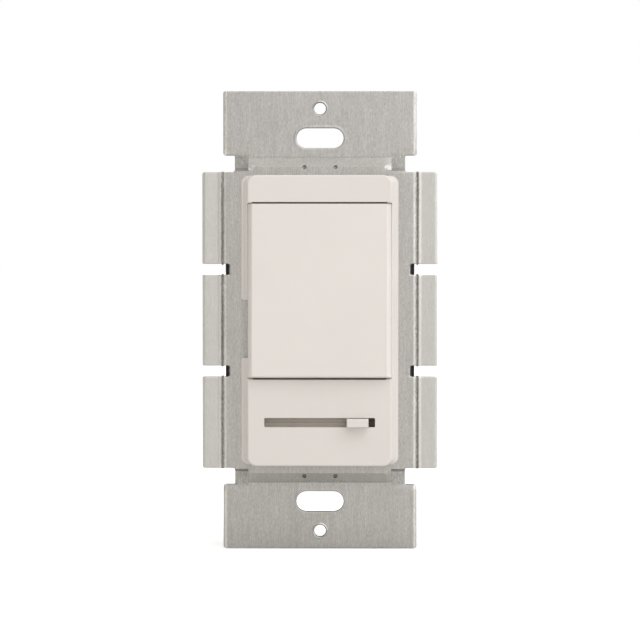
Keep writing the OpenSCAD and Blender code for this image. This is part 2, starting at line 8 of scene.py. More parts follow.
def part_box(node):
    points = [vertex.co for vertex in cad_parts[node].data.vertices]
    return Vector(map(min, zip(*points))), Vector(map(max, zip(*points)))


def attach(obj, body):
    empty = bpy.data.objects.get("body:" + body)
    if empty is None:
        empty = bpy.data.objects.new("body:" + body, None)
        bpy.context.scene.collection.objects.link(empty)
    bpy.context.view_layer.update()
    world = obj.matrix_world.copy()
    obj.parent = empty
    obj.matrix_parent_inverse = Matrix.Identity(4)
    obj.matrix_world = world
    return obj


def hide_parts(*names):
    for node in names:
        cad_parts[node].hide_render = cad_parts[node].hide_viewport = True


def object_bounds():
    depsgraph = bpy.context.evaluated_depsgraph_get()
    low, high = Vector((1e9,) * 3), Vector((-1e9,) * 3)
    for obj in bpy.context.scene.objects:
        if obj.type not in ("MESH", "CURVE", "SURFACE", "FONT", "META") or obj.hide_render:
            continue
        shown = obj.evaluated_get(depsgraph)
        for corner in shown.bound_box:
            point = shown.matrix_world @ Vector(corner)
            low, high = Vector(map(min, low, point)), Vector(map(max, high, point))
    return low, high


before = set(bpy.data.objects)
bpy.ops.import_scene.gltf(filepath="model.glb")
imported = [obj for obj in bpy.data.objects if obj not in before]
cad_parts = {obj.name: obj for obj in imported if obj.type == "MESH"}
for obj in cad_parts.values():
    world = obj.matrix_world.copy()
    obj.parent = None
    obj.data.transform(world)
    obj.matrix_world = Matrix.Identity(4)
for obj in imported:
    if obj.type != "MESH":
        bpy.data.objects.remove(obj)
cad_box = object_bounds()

MM = 0.001
SHARP = math.radians(32)  # edges that turn by more are rounded
scene = bpy.context.scene
scene.view_settings.view_transform = "Standard"
scene.view_settings.look = "None"

# ---------------------------------------------------------------- camera

CAMERA_DISTANCE = 0.70
CAMERA_RIGHT = math.radians(0.9)
CAMERA_UP = math.radians(1.5)
CAMERA_LENS, SENSOR_WIDTH = 171.7, 36
target = Vector((0, -1.5 * MM, 0))
camera = bpy.data.objects.new("camera", bpy.data.cameras.new("camera"))
camera.data.sensor_width, camera.data.lens = SENSOR_WIDTH, CAMERA_LENS
camera.data.clip_start, camera.data.clip_end = 0.01, 100
back = Vector((math.sin(CAMERA_RIGHT) * math.cos(CAMERA_UP), -math.cos(CAMERA_RIGHT) * math.cos(CAMERA_UP),
               math.sin(CAMERA_UP)))
camera.location = target + back * CAMERA_DISTANCE
camera.rotation_euler = (-back).to_track_quat("-Z", "Y").to_euler()
scene.collection.objects.link(camera)
scene.camera = camera

# ---------------------------------------------------------------- node helpers


class Nodes:
    """Short names for building one node tree."""

    def __init__(self, tree):
        self.tree = tree

    def add(self, kind, **values):
        n = self.tree.nodes.new(kind)
        for key, v in values.items():
            setattr(n, key, v)
        return n

    def link(self, a, b):
        self.tree.links.new(a, b)

    def math(self, op, a, b=None):
        n = self.add("ShaderNodeMath", operation=op)
        for i, v in enumerate((a, b)):
            if v is None:
                continue
            if isinstance(v, (int, float)):
                n.inputs[i].default_value = v
            else:
                self.link(v, n.inputs[i])
        return n.outputs[0]

    def coords(self, scale=(1, 1, 1), kind="Object"):
        t = self.add("ShaderNodeTexCoord")
        m = self.add("ShaderNodeMapping")
        m.inputs["Scale"].default_value = scale
        self.link(t.outputs[kind], m.inputs["Vector"])
        return m.outputs[0]

    def noise(self, scale, detail=3.0, rough=0.55, stretch=(1, 1, 1), seed=0.0):
        v = self.coords(tuple(scale * s for s in stretch))
        n = self.add("ShaderNodeTexNoise", noise_dimensions="4D")
        n.inputs["Scale"].default_value = 1.0
        n.inputs["W"].default_value = seed
        n.inputs["Detail"].default_value = detail
        n.inputs["Roughness"].default_value = rough
        self.link(v, n.inputs["Vector"])
        return n.outputs[0]

    def ramp(self, value, stops):
        n = self.add("ShaderNodeValToRGB")
        els = n.color_ramp.elements
        while len(els) < len(stops):
            els.new(0.5)
        for e, (at, colour) in zip(els, stops):
            e.position = at
            e.color = (*colour, 1) if not isinstance(colour, (int, float)) else (colour, colour, colour, 1)
        self.link(value, n.inputs[0])
        return n.outputs[0]

    def span(self, value, low, high, a=0.3, b=0.7):
        n = self.add("ShaderNodeMapRange", clamp=True)
        for i, v in ((1, a), (2, b), (3, low), (4, high)):
            n.inputs[i].default_value = v
        self.link(value, n.inputs[0])
        return n.outputs[0]

    def mix(self, factor, a, b, blend="MIX"):
        n = self.add("ShaderNodeMix", data_type="RGBA", blend_type=blend)
        for i, v in ((0, factor), (6, a), (7, b)):
            if isinstance(v, (int, float)):
                n.inputs[i].default_value = v
            elif isinstance(v, tuple):
                n.inputs[i].default_value = (*v, 1)
            else:
                self.link(v, n.inputs[i])
        return n.outputs[2]

    def brighten(self, factor, colour, gain):
        return self.mix(factor, colour, self.mix(1.0, colour, (gain, gain, gain), "MULTIPLY"))

    def bump(self, height, strength, distance, normal=None):
        n = self.add("ShaderNodeBump")
        n.inputs["Strength"].default_value = strength
        n.inputs["Distance"].default_value = distance
        self.link(height, n.inputs["Height"])
        if normal is not None:
            self.link(normal, n.inputs["Normal"])
        return n.outputs[0]


def material(name, metallic=0.0, roughness=0.5, **sockets):
    m = bpy.data.materials.new(name)
    m.use_nodes = True
    n = Nodes(m.node_tree)
    shader = m.node_tree.nodes["Principled BSDF"]
    shader.inputs["Metallic"].default_value = metallic
    shader.inputs["Roughness"].default_value = roughness
    for key, v in sockets.items():
        shader.inputs[key.replace("_", " ")].default_value = v
    return m, n, shader


def shade(colour, k):
    return tuple(min(1.0, c * k) for c in colour)


def moulded(name, colour, roughness=0.42, grain=0.35 * MM, depth=0.004 * MM, tone=0.012, **sockets):
    """Moulded plastic: a faint large-scale tone drift, a fine spark-eroded texture and uneven gloss."""
    m, n, s = material(name, 0.0, roughness, **sockets)
    drift = n.noise(1 / (14 * MM), 2.0)
    fine = n.noise(1 / grain, 3.0, 0.6, seed=3.1)
    flow = n.noise(1 / (6 * MM), 2.0, stretch=(1, 1, 0.25), seed=7.7)
    base = n.ramp(drift, [(0.3, shade(colour, 1 - tone)), (0.7, shade(colour, 1 + tone))])
    n.link(base, s.inputs["Base Color"])
    n.link(n.span(flow, roughness - 0.04, roughness + 0.05), s.inputs["Roughness"])
    n.link(n.bump(fine, 0.35, depth), s.inputs["Normal"])
    return m


def metal(name, colour, roughness=0.3, grain=(1, 1, 1), size=0.25 * MM, depth=0.006 * MM, tone=0.08,
          stain=0.05, **sockets):
    """Bare or plated metal: grain along one way, cloudy tone and small bright or dull marks."""
    m, n, s = material(name, 1.0, roughness, **sockets)
    fine = n.noise(1 / size, 4.0, 0.65, stretch=grain)
    cloud = n.noise(1 / (9 * MM), 3.0, seed=2.3)
    base = n.ramp(fine, [(0.28, shade(colour, 1 - tone)), (0.72, shade(colour, 1 + tone))])
    base = n.mix(n.span(cloud, 0.0, 1.0), base, n.mix(1.0, base, shade((1, 1, 1), 1 - stain), "MULTIPLY"))
    n.link(base, s.inputs["Base Color"])
    n.link(n.span(fine, roughness - 0.05, roughness + 0.08), s.inputs["Roughness"])
    n.link(n.bump(fine, 0.5, depth), s.inputs["Normal"])
    return m


# ---------------------------------------------------------------- mesh helpers


def arc(cx, cz, r, a0, a1, steps):
    return [(cx + r * math.cos(math.radians(a0 + (a1 - a0) * i / steps)),
             cz + r * math.sin(math.radians(a0 + (a1 - a0) * i / steps))) for i in range(steps + 1)]


def rounded(corners, steps=6):
    """A closed outline through corners (x, z, radius), each rounded by its radius."""
    out = []
    for i, (x, z, r) in enumerate(corners):
        p = Vector((x, z))
        a = Vector(corners[i - 1][:2]) - p
        b = Vector(corners[(i + 1) % len(corners)][:2]) - p
        if r <= 0:
            out.append((x, z))
            continue
        a.normalize()
        b.normalize()
        half = a.angle(b) / 2
        reach = r / math.tan(half)
        centre = p + (a + b).normalized() * (r / math.sin(half))
        start, end = p + a * reach - centre, p + b * reach - centre
        turn = start.angle_signed(end)
        for k in range(steps + 1):
            out.append(tuple(centre + Matrix.Rotation(-turn * k / steps, 2) @ start))
    return out


def rect(w, h, r=0.0, cx=0.0, cz=0.0, steps=6):
    return rounded([(cx + w / 2, cz + h / 2, r), (cx + w / 2, cz - h / 2, r),
                    (cx - w / 2, cz - h / 2, r), (cx - w / 2, cz + h / 2, r)], steps)


def disc(r, cx=0.0, cz=0.0, steps=40):
    return arc(cx, cz, r, 0, 360 * (steps - 1) / steps, steps - 1)


def obround(length, height, cx=0.0, cz=0.0, steps=20):
    r, x = height / 2, (length - height) / 2
    return arc(cx + x, cz, r, -90, 90, steps) + arc(cx - x, cz, r, 90, 270, steps)


def loft(loops):
    """A closed solid through loops of 3-D points in millimetres, capped at both ends."""
    bm = bmesh.new()
    rings = [[bm.verts.new(Vector(p) * MM) for p in loop] for loop in loops]
    n = len(rings[0])
    for a, b in zip(rings, rings[1:]):
        for i in range(n):
            bm.faces.new((a[i], a[(i + 1) % n], b[(i + 1) % n], b[i]))
    bm.faces.new(rings[0][::-1])
    bm.faces.new(rings[-1])
    bmesh.ops.recalc_face_normals(bm, faces=bm.faces)
    return bm


def prism(outline, y0, y1):
    return loft([[(x, y0, z) for x, z in outline], [(x, y1, z) for x, z in outline]])


def box(low, high):
    (x0, y0, z0), (x1, y1, z1) = low, high
    return prism([(x0, z0), (x1, z0), (x1, z1), (x0, z1)], y0, y1)


def rod_x(r, x0, x1, y, z, steps=32, fillet=0.0):
    rings = [(r, x0), (r, x1)] if fillet <= 0 else [
        (r - fillet, x0), (r - 0.3 * fillet, x0 + 0.3 * fillet), (r, x0 + fillet),
        (r, x1 - fillet), (r - 0.3 * fillet, x1 - 0.3 * fillet), (r - fillet, x1)]
    return loft([[(x, y + rr * math.cos(2 * math.pi * i / steps), z + rr * math.sin(2 * math.pi * i / steps))
                  for i in range(steps)] for rr, x in rings])


def as_object(bm, name="scratch"):
    mesh = bpy.data.meshes.new(name)
    bm.to_mesh(mesh)
    bm.free()
    o = bpy.data.objects.new(name, mesh)
    scene.collection.objects.link(o)
    return o


def evaluated_mesh(o):
    bpy.context.view_layer.update()
    return bpy.data.meshes.new_from_object(o.evaluated_get(bpy.context.evaluated_depsgraph_get()))


def boolean(base, tools):
    """The solid base (a bmesh) with each of the tools (bmeshes) taken from it."""
    o = as_object(base)
    helpers = [as_object(t) for t in tools]
    for h in helpers:
        mod = o.modifiers.new("cut", "BOOLEAN")
        mod.operation, mod.solver, mod.object = "DIFFERENCE", "EXACT", h
    mesh = evaluated_mesh(o)
    for h in [o, *helpers]:
        bpy.data.objects.remove(h)
    bm = bmesh.new()
    bm.from_mesh(mesh)
    bpy.data.meshes.remove(mesh)
    bmesh.ops.remove_doubles(bm, verts=bm.verts, dist=1e-6)
    bmesh.ops.dissolve_limit(bm, angle_limit=math.radians(0.5), verts=bm.verts, edges=bm.edges)
    return bm


def soften(bm, width, where):
    """Rounds every sharp edge whose middle, in millimetres, where() allows."""
    edges = [e for e in bm.edges if len(e.link_faces) == 2 and e.calc_face_angle(0) > SHARP
             and where((e.verts[0].co + e.verts[1].co) / 2 / MM)]
    bmesh.ops.bevel(bm, geom=edges, offset=width * MM, segments=2, profile=0.5, affect="EDGES",
                    clamp_overlap=False)
    bmesh.ops.remove_doubles(bm, verts=bm.verts, dist=2e-7)


def join(*parts):
    """Several separate solids as one mesh."""
    out = bmesh.new()
    for p in parts:
        mesh = bpy.data.meshes.new("part")
        p.to_mesh(mesh)
        p.free()
        out.from_mesh(mesh)
        bpy.data.meshes.remove(mesh)
    return out


def piece(bm, name, body, mat, replaces, smooth=35):
    """A finished piece that rides on body, shaded smooth up to that many degrees, in place of CAD nodes."""
    o = as_object(bm, name)
    o.data.polygons.foreach_set("use_smooth", [True] * len(o.data.polygons))
    o.data.set_sharp_from_angle(angle=math.radians(smooth))
    o.data.materials.append(mat)
    mod = o.modifiers.new("normals", "WEIGHTED_NORMAL")
    mod.keep_sharp, mod.weight = True, 80
    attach(o, body)
    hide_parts(*replaces)


def sheet(outlines, thickness, rim):
    """A flat sheet centred on y = 0 with rounded edges. The first outline is the outside, the rest holes."""
    data = bpy.data.curves.new("outline", "CURVE")
    data.dimensions, data.fill_mode = "2D", "BOTH"
    data.extrude = (thickness / 2 - rim) * MM
    data.bevel_depth, data.offset, data.bevel_resolution = rim * MM, -rim * MM, 2
    for outline in outlines:
        s = data.splines.new("POLY")
        s.points.add(len(outline) - 1)
        for p, (x, z) in zip(s.points, outline):
            p.co = (x * MM, z * MM, 0, 1)
        s.use_cyclic_u = True
    o = bpy.data.objects.new("outline", data)
    scene.collection.objects.link(o)
    mesh = evaluated_mesh(o)
    bpy.data.objects.remove(o)
    bm = bmesh.new()
    bm.from_mesh(mesh)
    bpy.data.meshes.remove(mesh)
    bmesh.ops.remove_doubles(bm, verts=bm.verts, dist=1e-6)
    bmesh.ops.transform(bm, matrix=Matrix.Rotation(math.radians(90), 4, "X"), verts=bm.verts)
    bmesh.ops.recalc_face_normals(bm, faces=bm.faces)
    return bm


def slice_region(bm, axis, places, lo, hi):
    """Cuts the faces whose box meets the box lo..hi by planes across axis, in millimetres."""
    no = Vector((axis == 0, axis == 1, axis == 2))
    geom = set()
    for f in bm.faces:
        xs = [v.co.x / MM for v in f.verts]
        zs = [v.co.z / MM for v in f.verts]
        if min(xs) < hi[0] and max(xs) > lo[0] and min(zs) < hi[1] and max(zs) > lo[1]:
            geom.update([f, *f.edges, *f.verts])
    geom = list(geom)
    for at in places:
        geom = bmesh.ops.bisect_plane(bm, geom=geom, dist=1e-7, plane_co=no * at * MM, plane_no=no)["geom"]


def steps_between(a, b, gap):
    n = max(1, round((b - a) / gap))
    return [a + (b - a) * i / n for i in range(n + 1)]


def smooth_step(t):
    t = max(0.0, min(1.0, t))
    return t * t * (3 - 2 * t)


# ---------------------------------------------------------------- places used in several sections, in mm

SCORE_X = 22.25
COVER_HOLE_Z, COVER_HOLE_R = 48.42, 1.35
BOX_SLOT_Z, BOX_SLOT_L, BOX_SLOT_H = 41.67, 10.8, 4.55
PIVOT_Y, PIVOT_Z = -5.4, 6.75
KNOB_X, SLOT_Z, SLOT_L, SLOT_H = 8.65, -23.2, 25.2, 2.1
SEAL_FRONT, SEAL_BACK = -6.0, -5.6

# ---------------------------------------------------------------- materials

# Gains for painted light: the brighter fins and the painted highlights on the score line's lips
FIN_LIGHT_GAIN, LIP_HIGHLIGHT_GAIN, INNER_LIP_HIGHLIGHT_GAIN = 1.24, 1.16, 1.22
FIN_TONE = (0.566, 0.551, 0.530)
aluminium, n, s = material("mill_aluminium", 1.0, 0.36)
place = n.add("ShaderNodeSeparateXYZ")
n.link(n.coords(), place.inputs[0])
wide = n.math("ABSOLUTE", place.outputs[0])
up = n.math("ABSOLUTE", place.outputs[2])
fin = n.span(wide, 0.0, 1.0, 22.5 * MM, 22.8 * MM)
painted_shade = n.add("ShaderNodeAttribute", attribute_name="painted_shade").outputs["Fac"]
speck = n.noise(1 / (0.22 * MM), 3.0, 0.65, stretch=(1.0, 1.0, 0.30))
streak = n.noise(1 / (0.28 * MM), 4.0, 0.65, stretch=(1.0, 1.0, 0.09), seed=4.2)
band = n.noise(1 / (1.6 * MM), 2.0, 0.5, stretch=(1.0, 1.0, 0.07), seed=8.8)
cloud = n.noise(1 / (9 * MM), 3.0, 0.5, seed=1.7)
base = n.ramp(speck, [(0.30, (0.538, 0.524, 0.505)), (0.5, (0.648, 0.631, 0.609)),
                      (0.70, (0.767, 0.748, 0.722))])
base = n.mix(0.9, base, n.ramp(streak, [(0.3, 0.80), (0.7, 1.0)]), "MULTIPLY")
base = n.mix(0.8, base, n.ramp(band, [(0.3, 0.92), (0.7, 1.0)]), "MULTIPLY")
base = n.mix(0.8, base, n.ramp(cloud, [(0.3, 0.93), (0.7, 1.0)]), "MULTIPLY")
# Painted light: the fins are painted evener and brighter than the plate, standing in for the light they catch
even = n.mix(0.6, base, FIN_TONE)
base = n.mix(fin, base, n.mix(1.0, even, (FIN_LIGHT_GAIN, FIN_LIGHT_GAIN, FIN_LIGHT_GAIN), "MULTIPLY"))
# Painted highlight: the lips beside the score line are painted brighter, the inner lip more so
beside = n.math("ABSOLUTE", n.math("SUBTRACT", wide, SCORE_X * MM))
lip = n.math("MULTIPLY", n.span(beside, 0.0, 1.0, 0.30 * MM, 0.42 * MM),
             n.span(beside, 1.0, 0.0, 0.75 * MM, 1.0 * MM))
base = n.brighten(lip, base, LIP_HIGHLIGHT_GAIN)
inner_lip_highlight = n.math("MULTIPLY", lip, n.span(wide, 1.0, 0.0, (SCORE_X - 0.1) * MM, SCORE_X * MM))
base = n.brighten(inner_lip_highlight, base, INNER_LIP_HIGHLIGHT_GAIN)
# Burr round the punched holes: the distance to the nearer round hole and the nearer slot


def from_centre(x, z):
    rise = n.math("SUBTRACT", up, z)
    return n.math("SQRT", n.math("ADD", n.math("POWER", x, 2.0), n.math("POWER", rise, 2.0)))


def ring(distance, at, half):
    off = n.math("ABSOLUTE", n.math("SUBTRACT", distance, at))
    return n.span(off, 1.0, 0.0, 0.0, half)


to_hole = from_centre(wide, COVER_HOLE_Z * MM)
slot_straight = (BOX_SLOT_L - BOX_SLOT_H) / 2
to_slot = from_centre(n.math("MAXIMUM", n.math("SUBTRACT", wide, slot_straight * MM), 0.0), BOX_SLOT_Z * MM)
burr = n.math("MAXIMUM", ring(to_hole, (COVER_HOLE_R + 0.27) * MM, 0.22 * MM),
              n.math("MULTIPLY", ring(to_slot, (BOX_SLOT_H / 2 + 0.325) * MM, 0.35 * MM), 0.35))
# Painted shade: the vertex attribute read above paints the aluminium darker, with a speckle, in the score
# groove, the pits, the ramp's crease, the neck's end patches and on the cut edges
painted_shade_colour = n.mix(1.0, base, n.ramp(speck, [(0.36, 0.20), (0.64, 0.75)]), "MULTIPLY")
n.link(n.mix(painted_shade, base, painted_shade_colour), s.inputs["Base Color"])
n.link(n.math("ADD", n.span(speck, 0.31, 0.42), n.math("MULTIPLY", painted_shade, 0.12)), s.inputs["Roughness"])
grain = n.bump(streak, 0.35, 0.008 * MM, n.bump(speck, 0.30, 0.006 * MM))
n.link(n.bump(burr, 1.0, 0.12 * MM, grain), s.inputs["Normal"])

IVORY = (0.778, 0.732, 0.704)
ivory_frame = moulded("ivory_frame", IVORY, 0.40, Specular_IOR_Level=0.35)
ivory_paddle = moulded("ivory_paddle", shade(IVORY, 1.02), 0.36, grain=0.25 * MM, Specular_IOR_Level=0.35)
ivory_knob = moulded("ivory_knob", IVORY, 0.34, grain=0.2 * MM, Specular_IOR_Level=0.4)
black_plastic = moulded("black_plastic", (0.0115, 0.0115, 0.0125), 0.50, grain=0.3 * MM, depth=0.015 * MM,
                        tone=0.15, Specular_IOR_Level=0.38)
felt = moulded("felt_seal", (0.46, 0.415, 0.375), 0.92, grain=0.12 * MM, depth=0.05 * MM, tone=0.12,
               Specular_IOR_Level=0.1, Sheen_Weight=0.35)
# Painted shade: the felt is painted darker towards the slot's right-hand end, in the narrow pocket beside the
# knob
n = Nodes(felt.node_tree)
s = felt.node_tree.nodes["Principled BSDF"]
place = n.add("ShaderNodeSeparateXYZ")
n.link(n.coords(), place.inputs[0])
pale = s.inputs["Base Color"].links[0].from_socket
pocket_shade = n.mix(1.0, pale, (0.30, 0.28, 0.27), "MULTIPLY")
slot_end = n.span(place.outputs[0], 0.0, 1.0, 10.6 * MM, 11.2 * MM)
n.link(n.mix(slot_end, pale, pocket_shade), s.inputs["Base Color"])
paper = moulded("insulating_paper", (0.055, 0.06, 0.06), 0.75, grain=0.15 * MM, depth=0.02 * MM, tone=0.15)
phenolic = moulded("brown_phenolic", (0.16, 0.070, 0.032), 0.42, depth=0.01 * MM, tone=0.15)
white_acetal = moulded("white_acetal", (0.80, 0.79, 0.76), 0.3)
blue_plastic = moulded("blue_plastic", (0.020, 0.075, 0.30), 0.32, tone=0.08)
red_plastic = moulded("red_plastic", (0.30, 0.035, 0.025), 0.30, tone=0.08)
mica = moulded("mica_sheet", (0.52, 0.43, 0.27), 0.25, grain=0.8 * MM, tone=0.15, Coat_Weight=0.4)
ceramic = moulded("resistor_ceramic", (0.55, 0.42, 0.26), 0.35, tone=0.05)
glass = moulded("diode_glass", (0.05, 0.16, 0.32), 0.12, tone=0.05, Coat_Weight=0.6)
carbon = moulded("carbon_film", (0.012, 0.012, 0.012), 0.55, grain=0.08 * MM, tone=0.3)
triac_black = moulded("package_black", (0.022, 0.022, 0.024), 0.55, grain=0.18 * MM, depth=0.012 * MM,
                      tone=0.12)
core_yellow = moulded("iron_powder_core", (0.62, 0.44, 0.07), 0.55, grain=0.3 * MM, depth=0.02 * MM, tone=0.1)
plated = metal("plated_steel", (0.60, 0.595, 0.58), 0.28)
spring_wire = metal("spring_steel", (0.42, 0.42, 0.42), 0.25, size=0.1 * MM)
brass = metal("terminal_brass", (0.78, 0.57, 0.27), 0.30, grain=(1, 1, 0.2))
brass_screw = metal("brass_screw", (0.74, 0.55, 0.26), 0.28)
green_steel = metal("green_steel", (0.06, 0.27, 0.10), 0.35, tone=0.12)
tinned = metal("tinned_copper", (0.70, 0.68, 0.65), 0.25)
copper_wire = metal("enamelled_copper", (0.62, 0.24, 0.10), 0.22, grain=(1, 0.3, 1), Coat_Weight=0.7)
contact_copper = metal("contact_copper", (0.80, 0.46, 0.30), 0.28)
silver = metal("contact_silver", (0.86, 0.85, 0.82), 0.22)

board_mat, n, s = material("board_laminate", 0.0, 0.38)
weave = n.add("ShaderNodeTexChecker")
weave.inputs["Scale"].default_value = 1.0
n.link(n.coords((1 / (0.4 * MM),) * 3), weave.inputs["Vector"])
grain = n.noise(1 / (0.5 * MM), 3.0)
n.link(n.mix(0.25, n.ramp(grain, [(0.3, (0.012, 0.085, 0.035)), (0.7, (0.022, 0.125, 0.055))]),
             weave.outputs[0], "MULTIPLY"), s.inputs["Base Color"])
n.link(n.bump(grain, 0.4, 0.01 * MM), s.inputs["Normal"])

# ---------------------------------------------------------------- mounting strap

STRAP_T, LIFT = 1.5, 2.0
EAR_HALF, EAR_TOP, EAR_IN = 22.2, 52.4, 37.7
NECK_HALF, PLATE_HALF_W, PLATE_HALF_H = 19.5, 26.9, 33.85
GAP_Z, GAP_HALF, GAP_END_X, GAP_END_R = 11.65, 1.25, 20.85, 0.35
ROLL, GAP_ROLL, RIM = 0.6, 0.45, 0.2  # how far in the edges are rolled, and the radius of every cut edge
FIN_TILT, FIN_START = 0.035, SCORE_X + 0.3


def strap_side():
    """The outline's right-hand side, from the top down to the middle, then mirrored."""
    # The score line's notch in a gap's side, and its burr at the plate's end
    bite, tip, horn = 0.32, 0.30, 0.16
    top = rounded([(0, EAR_TOP, 0), (EAR_HALF, EAR_TOP, 0.5), (EAR_HALF, EAR_IN, 0.6),
                   (NECK_HALF, EAR_IN, 0.35), (NECK_HALF, PLATE_HALF_H, 0.45),
                   (SCORE_X - 0.4, PLATE_HALF_H, 0), (SCORE_X, PLATE_HALF_H + horn, 0),
                   (SCORE_X + 0.4, PLATE_HALF_H, 0),
                   (PLATE_HALF_W, PLATE_HALF_H, 0.55), (PLATE_HALF_W, GAP_Z + GAP_HALF, 0.2),
                   (SCORE_X + bite, GAP_Z + GAP_HALF, 0), (SCORE_X, GAP_Z + GAP_HALF - tip, 0),
                   (SCORE_X - bite, GAP_Z + GAP_HALF, 0), (GAP_END_X, GAP_Z + GAP_HALF, GAP_END_R),
                   (GAP_END_X, GAP_Z - GAP_HALF, GAP_END_R), (SCORE_X - bite, GAP_Z - GAP_HALF, 0),
                   (SCORE_X, GAP_Z - GAP_HALF + tip, 0), (SCORE_X + bite, GAP_Z - GAP_HALF, 0),
                   (PLATE_HALF_W, GAP_Z - GAP_HALF, 0.2), (PLATE_HALF_W, 0, 0), (0, 0, 0)])[1:-2]
    return top + [(x, -z) for x, z in reversed(top)]


right = strap_side()
outline = right + [(-x, z) for x, z in reversed(right)]
holes = [disc(COVER_HOLE_R, 0, sz * COVER_HOLE_Z, 32) for sz in (1, -1)]
holes += [obround(BOX_SLOT_L, BOX_SLOT_H, 0, sz * BOX_SLOT_Z) for sz in (1, -1)]
# Behind the frame: windows for the plunger and the lever, holes for rivet, ground screw and housing screws
holes += [rect(12, 12, 0.5, 0, PIVOT_Z), rect(27, 4, 0.8, 0, SLOT_Z)]
holes += [disc(1.6, 0, -4.5, 24), disc(1.75, -15.5, 20.5, 24)]
holes += [disc(1.6, sx * 12, sz * 29.6, 24) for sx in (1, -1) for sz in (1, -1)]
strap = sheet([outline] + holes, STRAP_T, RIM)

PIT_X, PIT_Z = 3.55, {1: 35.0, -1: 35.8}
PIT_R, PIT_DEPTH, PIT_REACH = 0.52, 0.5, 0.6
RAMP_OUT, RAMP_IN, STEP_OUT, STEP_IN, RAMP_HALF_W = 37.3, 35.0, 34.75, 34.05, 16.4
NECK_FADE_Z = 39.3
BEND_Z = [STEP_IN, 34.3, 34.5, STEP_OUT, RAMP_IN, 35.6, 36.2, 36.8, 37.2, RAMP_OUT,
          37.4, 37.7, 38.1, 38.5, 38.9, NECK_FADE_Z]
SHOULDER_IN = 14.2
SHOULDER_X = [SHOULDER_IN, 14.6, 15.0, 15.4, 15.8, 16.1, 16.36, 16.44]
for side in (1, -1):
    low, high = sorted((side * 32.9, side * 39.6))
    slice_region(strap, 2, [side * z for z in BEND_Z], (-30, low), (30, high))
    for sx in (1, -1):
        slice_region(strap, 0, [sx * x for x in SHOULDER_X],
                     (min(sx * 13, sx * 18.2), low), (max(sx * 13, sx * 18.2), high))
        pit = Vector((sx * PIT_X, side * PIT_Z[side]))
        for axis in (0, 1):
            slice_region(strap, 2 * axis, [pit[axis] + d for d in steps_between(-PIT_REACH, PIT_REACH, 0.08)],
                         (pit.x - PIT_REACH, pit.y - PIT_REACH), (pit.x + PIT_REACH, pit.y + PIT_REACH))
SCORE_REACH = 1.35
SCORE_STEPS = [0.05, 0.12, 0.19, 0.27, 0.36, 0.46, 0.57, 0.69, 0.82, 0.96, 1.12, 1.3]
ROLL_STEPS = [0.02, 0.05, 0.1, 0.16, 0.24, 0.34, 0.46, 0.6, 0.75]
GAP_STEPS = [0.8, 1.0, 1.15, 1.25, 1.4]
for sx in (1, -1):
    x0 = sx * SCORE_X
    slice_region(strap, 0, sorted([x0] + [x0 + k * d for d in SCORE_STEPS for k in (1, -1)]),
                 (x0 - SCORE_REACH, -PLATE_HALF_H), (x0 + SCORE_REACH, PLATE_HALF_H))
    slice_region(strap, 2, steps_between(-33.4, 33.4, 0.45),
                 (x0 - 1.3, -PLATE_HALF_H), (x0 + 1.3, PLATE_HALF_H))
    for edge, z0, z1 in ((PLATE_HALF_W, -PLATE_HALF_H, PLATE_HALF_H), (EAR_HALF, EAR_IN, EAR_TOP),
                         (EAR_HALF, -EAR_TOP, -EAR_IN)):
        a, b = sorted((sx * (edge - 0.8), sx * (edge + 0.1)))
        slice_region(strap, 0, [sx * (edge - d) for d in ROLL_STEPS], (a, z0), (b, z1))
    a, b = sorted((sx * (GAP_END_X - 0.5), sx * GAP_END_X))
    for z in (GAP_Z, -GAP_Z):
        slice_region(strap, 0, [sx * (GAP_END_X - d) for d in ROLL_STEPS[1:7]], (a, z - 1.4), (b, z + 1.4))
        slice_region(strap, 2, [z + k * d for k in (1, -1) for d in GAP_STEPS], (a, z - 1.4), (b, z + 1.4))


def lift_at(x, z):
    """How far the sheet stands in front of the ears: a ramp in the middle, a step at either side of it."""
    middle = abs(x) < RAMP_HALF_W
    out, inn = (RAMP_OUT, RAMP_IN) if middle else (STEP_OUT, STEP_IN)
    rise = LIFT * max(0.0, min(1.0, (out - abs(z)) / (out - inn)))
    if middle:
        bow = max(0.0, (abs(x) - SHOULDER_IN) / (RAMP_HALF_W - SHOULDER_IN)) ** 2
        return rise - 0.38 * bow * (rise / LIFT) * smooth_step((abs(z) - 34.3) / 0.7)
    return rise - 0.05 * (abs(x) - RAMP_HALF_W) * smooth_step((NECK_FADE_Z - abs(z)) / 2.0) * (rise < LIFT)


GROOVE_DEPTH, GROOVE_W, GROOVE_SHADE_W = 0.22, 0.20, 0.36
LIP_SINK, LIP_RISE = 0.10, 0.20


def groove_at(x, z):
    """The coined score line's depth and its painted shade: a ragged V, its inner lip sinking and its outer
    lip raised.
    """
    u = abs(x) - SCORE_X
    if abs(z) > PLATE_HALF_H + 0.2 or abs(u) > SCORE_REACH:
        return 0.0, 0.0
    wob = 0.07 * noise.noise(Vector((x, z * 1.3, 5.0))) + 0.05 * noise.noise(Vector((x, z * 3.1, 9.0)))
    deep = 1 + 0.5 * noise.noise(Vector((x * 0.2, z * 2.3, 2.0)))
    tall = 1 + 0.3 * noise.noise(Vector((x * 0.2 + 7, z * 0.7, 4.0)))
    v = u + wob
    lips = LIP_SINK * smooth_step((u + 1.05) / 0.72) if u < 0 else 0.0
    crest = smooth_step((u + 0.33) / 0.66) * (1 - smooth_step((u - 0.30) / 0.80))
    lips -= (LIP_RISE * tall + LIP_SINK * (u < 0)) * crest
    depth = GROOVE_DEPTH * deep * math.exp(-(v / GROOVE_W) ** 2) + lips
    # The second value is painted shade that darkens the V
    return depth, 0.62 * math.exp(-(v / GROOVE_SHADE_W) ** 4)


def pit_at(x, z):
    d = math.hypot(abs(x) - PIT_X, abs(z) - PIT_Z[1 if z > 0 else -1])
    return PIT_DEPTH * smooth_step((PIT_R - d) / (PIT_R / 2))


